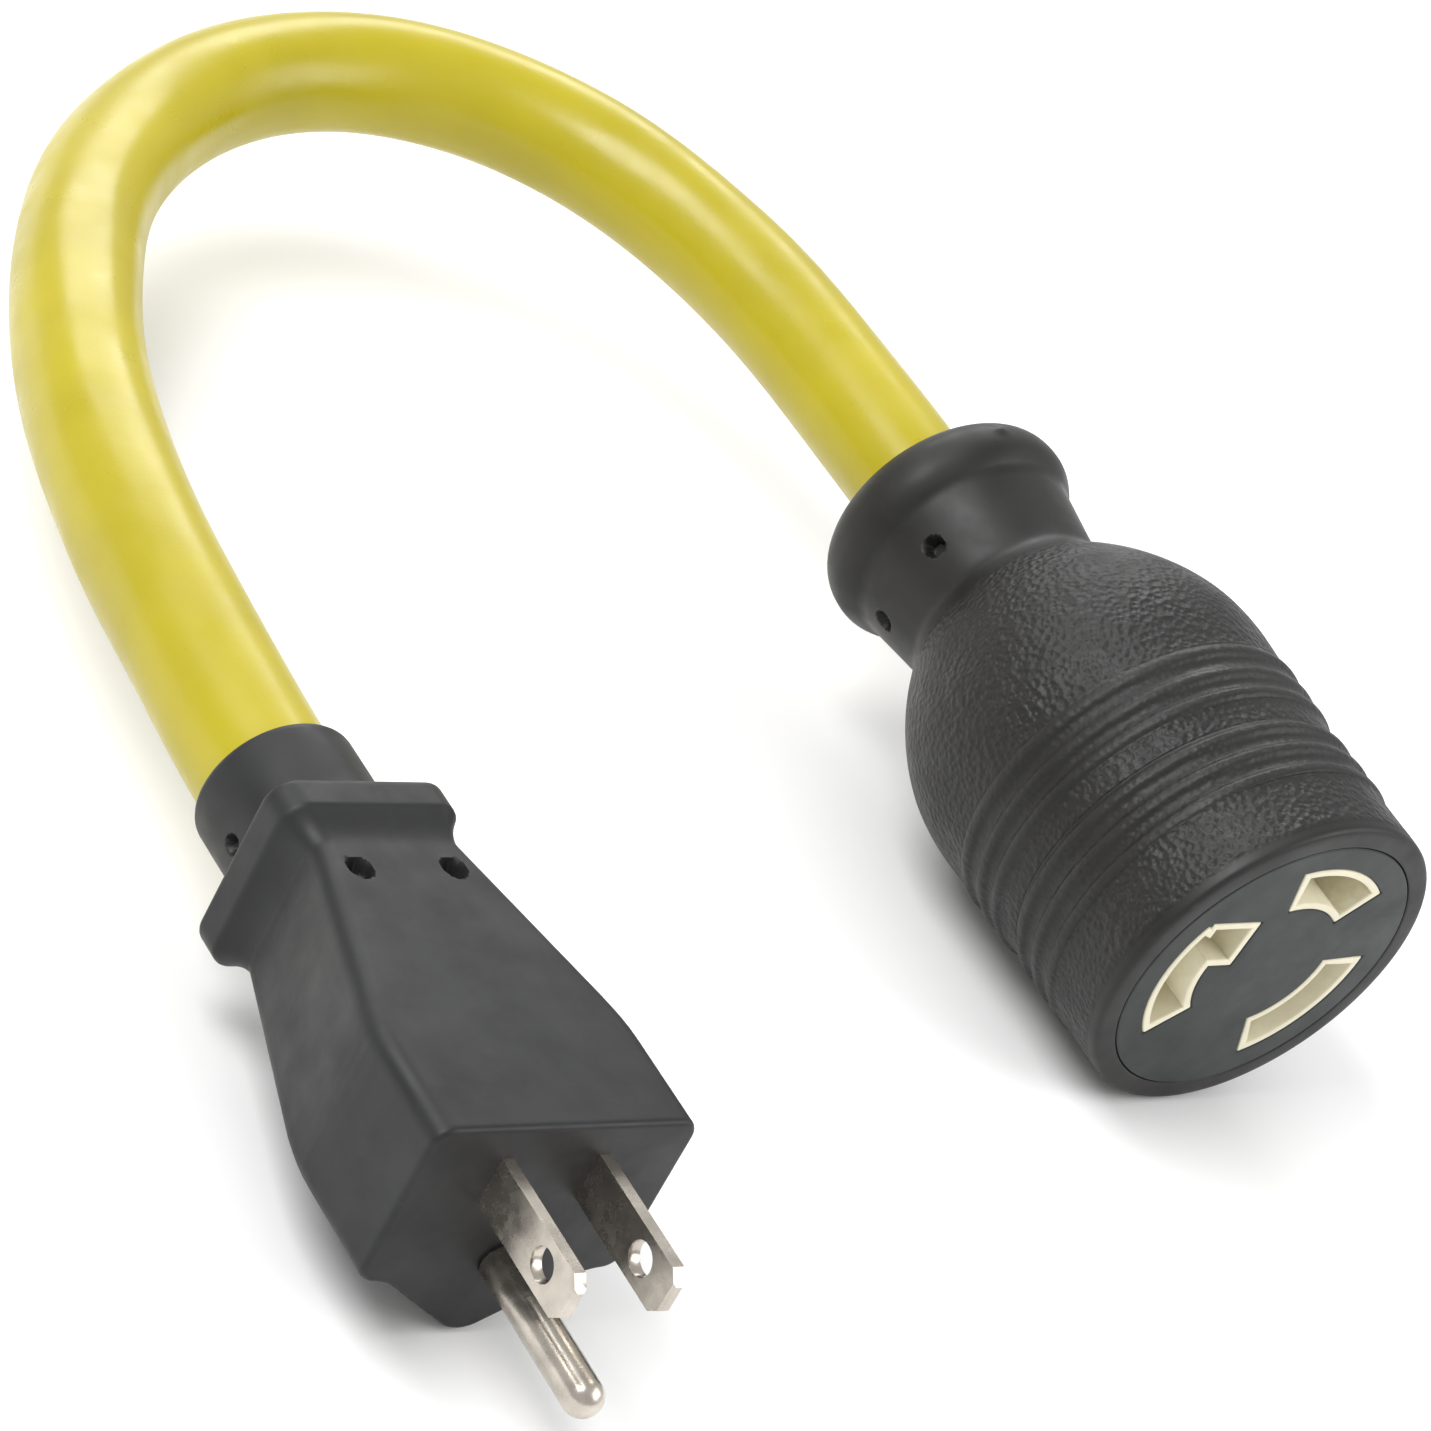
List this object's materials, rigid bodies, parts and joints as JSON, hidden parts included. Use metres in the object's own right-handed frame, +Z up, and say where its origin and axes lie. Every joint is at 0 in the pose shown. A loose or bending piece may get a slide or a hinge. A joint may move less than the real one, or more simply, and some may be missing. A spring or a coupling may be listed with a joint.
{
  "type": "shore power adapter cord",
  "caption": "Short adapter cord: straight-blade earthed plug, stiff yellow cable bent in a U and a round twist-lock connector with ivory-lined slots.",
  "frame": {"origin": "middle of the footprint, on the table the cord lies on", "axes": "+Z up; -Y is the way the plug's blades point; +X from the plug towards the connector"},
  "size_m": [0.1672, 0.2342, 0.0509],
  "materials": {
    "black_pvc": "satin moulded PVC",
    "face_pvc": "smooth satin",
    "yellow_pvc": "glossy extruded PVC",
    "ivory_plastic": "satin",
    "nickel_plate": "satin nickel plate",
    "contact_brass": "bright",
    "copper": "bare stranded copper",
    "core_black": "extruded",
    "core_white": "extruded",
    "core_green": "extruded",
    "filler": "twisted fibre",
    "inner_mold": "rough"
  },
  "bodies": {
    "plug": {"plug_overmold": "black_pvc", "blade_bridge": "inner_mold", "plug_inner_mold": "inner_mold", "line_blade": "nickel_plate", "neutral_blade": "nickel_plate", "ground_pin": "nickel_plate", "cord_jacket_plug_end": "yellow_pvc"},
    "cord_link_01": {"cord_jacket_link_01": "yellow_pvc"},
    "cord_link_02": {"cord_jacket_link_02": "yellow_pvc"},
    "cord_link_03": {"cord_jacket_link_03": "yellow_pvc"},
    "cord_link_04": {"cord_jacket_link_04": "yellow_pvc"},
    "cord_link_05": {"cord_jacket_link_05": "yellow_pvc"},
    "cord_link_06": {"cord_jacket_link_06": "yellow_pvc"},
    "cord_link_07": {"cord_jacket_link_07": "yellow_pvc"},
    "cord_link_08": {"cord_jacket_link_08": "yellow_pvc", "line_insulation": "core_black", "neutral_insulation": "core_white", "ground_insulation": "core_green", "line_copper_strands": "copper", "neutral_copper_strands": "copper", "ground_copper_strands": "copper", "cord_fillers": "filler"},
    "cord_link_09": {"cord_jacket_link_09": "yellow_pvc"},
    "cord_link_10": {"cord_jacket_link_10": "yellow_pvc"},
    "cord_link_11": {"cord_jacket_link_11": "yellow_pvc"},
    "cord_link_12": {"cord_jacket_link_12": "yellow_pvc"},
    "cord_link_13": {"cord_jacket_link_13": "yellow_pvc"},
    "cord_link_14": {"cord_jacket_link_14": "yellow_pvc"},
    "cord_link_15": {"cord_jacket_link_15": "yellow_pvc"},
    "connector": {"cord_jacket_connector_end": "yellow_pvc", "connector_overmold": "black_pvc", "connector_face_insert": "face_pvc", "contact_carrier": "ivory_plastic", "carrier_cover": "ivory_plastic", "line_contact": "contact_brass", "neutral_contact": "contact_brass", "ground_contact": "contact_brass", "connector_inner_mold": "inner_mold"}
  },
  "joints": [
    {"name": "bend_a", "type": "hinge", "parent": "plug", "child": "cord_link_01", "pos_m": [-0.06645, -0.01838, 0.01946], "axis": [0, 0, 1], "range_deg": [-1, 8], "deforming": ["line_insulation", "neutral_insulation", "ground_insulation", "line_copper_strands", "neutral_copper_strands", "ground_copper_strands", "cord_fillers"]},
    {"name": "bend_a_2", "type": "hinge", "parent": "cord_link_01", "child": "cord_link_02", "pos_m": [-0.06552, -0.0007, 0.02021], "axis": [0, 0, 1], "range_deg": [-1, 8], "deforming": ["line_insulation", "neutral_insulation", "ground_insulation", "line_copper_strands", "neutral_copper_strands", "ground_copper_strands", "cord_fillers"]},
    {"name": "bend_a_3", "type": "hinge", "parent": "cord_link_02", "child": "cord_link_03", "pos_m": [-0.06369, 0.01691, 0.02028], "axis": [0, 0, 1], "range_deg": [-1, 8], "deforming": ["line_insulation", "neutral_insulation", "ground_insulation", "line_copper_strands", "neutral_copper_strands", "ground_copper_strands", "cord_fillers"]},
    {"name": "bend_b", "type": "hinge", "parent": "cord_link_03", "child": "cord_link_04", "pos_m": [-0.06036, 0.03429, 0.02042], "axis": [0, 0, 1], "range_deg": [-2, 10], "deforming": ["line_insulation", "neutral_insulation", "ground_insulation", "line_copper_strands", "neutral_copper_strands", "ground_copper_strands", "cord_fillers"]},
    {"name": "bend_b_2", "type": "hinge", "parent": "cord_link_04", "child": "cord_link_05", "pos_m": [-0.05493, 0.05114, 0.02081], "axis": [0, 0, 1], "range_deg": [-2, 10], "deforming": ["line_insulation", "neutral_insulation", "ground_insulation", "line_copper_strands", "neutral_copper_strands", "ground_copper_strands", "cord_fillers"]},
    {"name": "bend_b_3", "type": "hinge", "parent": "cord_link_05", "child": "cord_link_06", "pos_m": [-0.04765, 0.06727, 0.02128], "axis": [0, 0, 1], "range_deg": [-2, 10], "deforming": ["line_insulation", "neutral_insulation", "ground_insulation", "line_copper_strands", "neutral_copper_strands", "ground_copper_strands", "cord_fillers"]},
    {"name": "bend_c", "type": "hinge", "parent": "cord_link_06", "child": "cord_link_07", "pos_m": [-0.03835, 0.08234, 0.02154], "axis": [0, 0, 1], "range_deg": [-2, 10], "deforming": ["line_insulation", "neutral_insulation", "ground_insulation", "line_copper_strands", "neutral_copper_strands", "ground_copper_strands", "cord_fillers"]},
    {"name": "bend_c_2", "type": "hinge", "parent": "cord_link_07", "child": "cord_link_08", "pos_m": [-0.02633, 0.09534, 0.02222], "axis": [0, 0, 1], "range_deg": [-2, 10], "deforming": ["line_insulation", "neutral_insulation", "ground_insulation", "line_copper_strands", "neutral_copper_strands", "ground_copper_strands", "cord_fillers"]},
    {"name": "bend_c_3", "type": "hinge", "parent": "cord_link_08", "child": "cord_link_09", "pos_m": [-0.01167, 0.10499, 0.02481], "axis": [0, 0, 1], "range_deg": [-2, 10], "deforming": ["line_insulation", "neutral_insulation", "ground_insulation", "line_copper_strands", "neutral_copper_strands", "ground_copper_strands", "cord_fillers"]},
    {"name": "lift", "type": "hinge", "parent": "cord_link_09", "child": "cord_link_10", "pos_m": [0.0054, 0.10907, 0.02746], "axis": [-0.1683, -0.9857, 0], "range_deg": [0, 7], "deforming": ["line_insulation", "neutral_insulation", "ground_insulation", "line_copper_strands", "neutral_copper_strands", "ground_copper_strands", "cord_fillers"]},
    {"name": "bend_d", "type": "hinge", "parent": "cord_link_10", "child": "cord_link_11", "pos_m": [0.02275, 0.10611, 0.02973], "axis": [0, 0, 1], "range_deg": [-2, 12], "deforming": ["line_insulation", "neutral_insulation", "ground_insulation", "line_copper_strands", "neutral_copper_strands", "ground_copper_strands", "cord_fillers"]},
    {"name": "bend_d_2", "type": "hinge", "parent": "cord_link_11", "child": "cord_link_12", "pos_m": [0.03755, 0.09636, 0.03085], "axis": [0, 0, 1], "range_deg": [-2, 12], "deforming": ["line_insulation", "neutral_insulation", "ground_insulation", "line_copper_strands", "neutral_copper_strands", "ground_copper_strands", "cord_fillers"]},
    {"name": "lift_2", "type": "hinge", "parent": "cord_link_12", "child": "cord_link_13", "pos_m": [0.04779, 0.08188, 0.03117], "axis": [-0.9504, -0.311, 0], "range_deg": [0, 7], "deforming": ["line_insulation", "neutral_insulation", "ground_insulation", "line_copper_strands", "neutral_copper_strands", "ground_copper_strands", "cord_fillers"]},
    {"name": "bend_e", "type": "hinge", "parent": "cord_link_13", "child": "cord_link_14", "pos_m": [0.0533, 0.06503, 0.03109], "axis": [0, 0, 1], "range_deg": [-2, 8], "deforming": ["line_insulation", "neutral_insulation", "ground_insulation", "line_copper_strands", "neutral_copper_strands", "ground_copper_strands", "cord_fillers"]},
    {"name": "bend_e_2", "type": "hinge", "parent": "cord_link_14", "child": "cord_link_15", "pos_m": [0.05545, 0.04746, 0.03074], "axis": [0, 0, 1], "range_deg": [-2, 8], "deforming": ["line_insulation", "neutral_insulation", "ground_insulation", "line_copper_strands", "neutral_copper_strands", "ground_copper_strands", "cord_fillers"]},
    {"name": "twist", "type": "hinge", "parent": "cord_link_15", "child": "connector", "pos_m": [0.05624, 0.02978, 0.03015], "axis": [0.0343, -0.9973, -0.0645], "range_deg": [-20, 20], "deforming": ["line_insulation", "neutral_insulation", "ground_insulation", "line_copper_strands", "neutral_copper_strands", "ground_copper_strands", "cord_fillers"]}
  ]
}
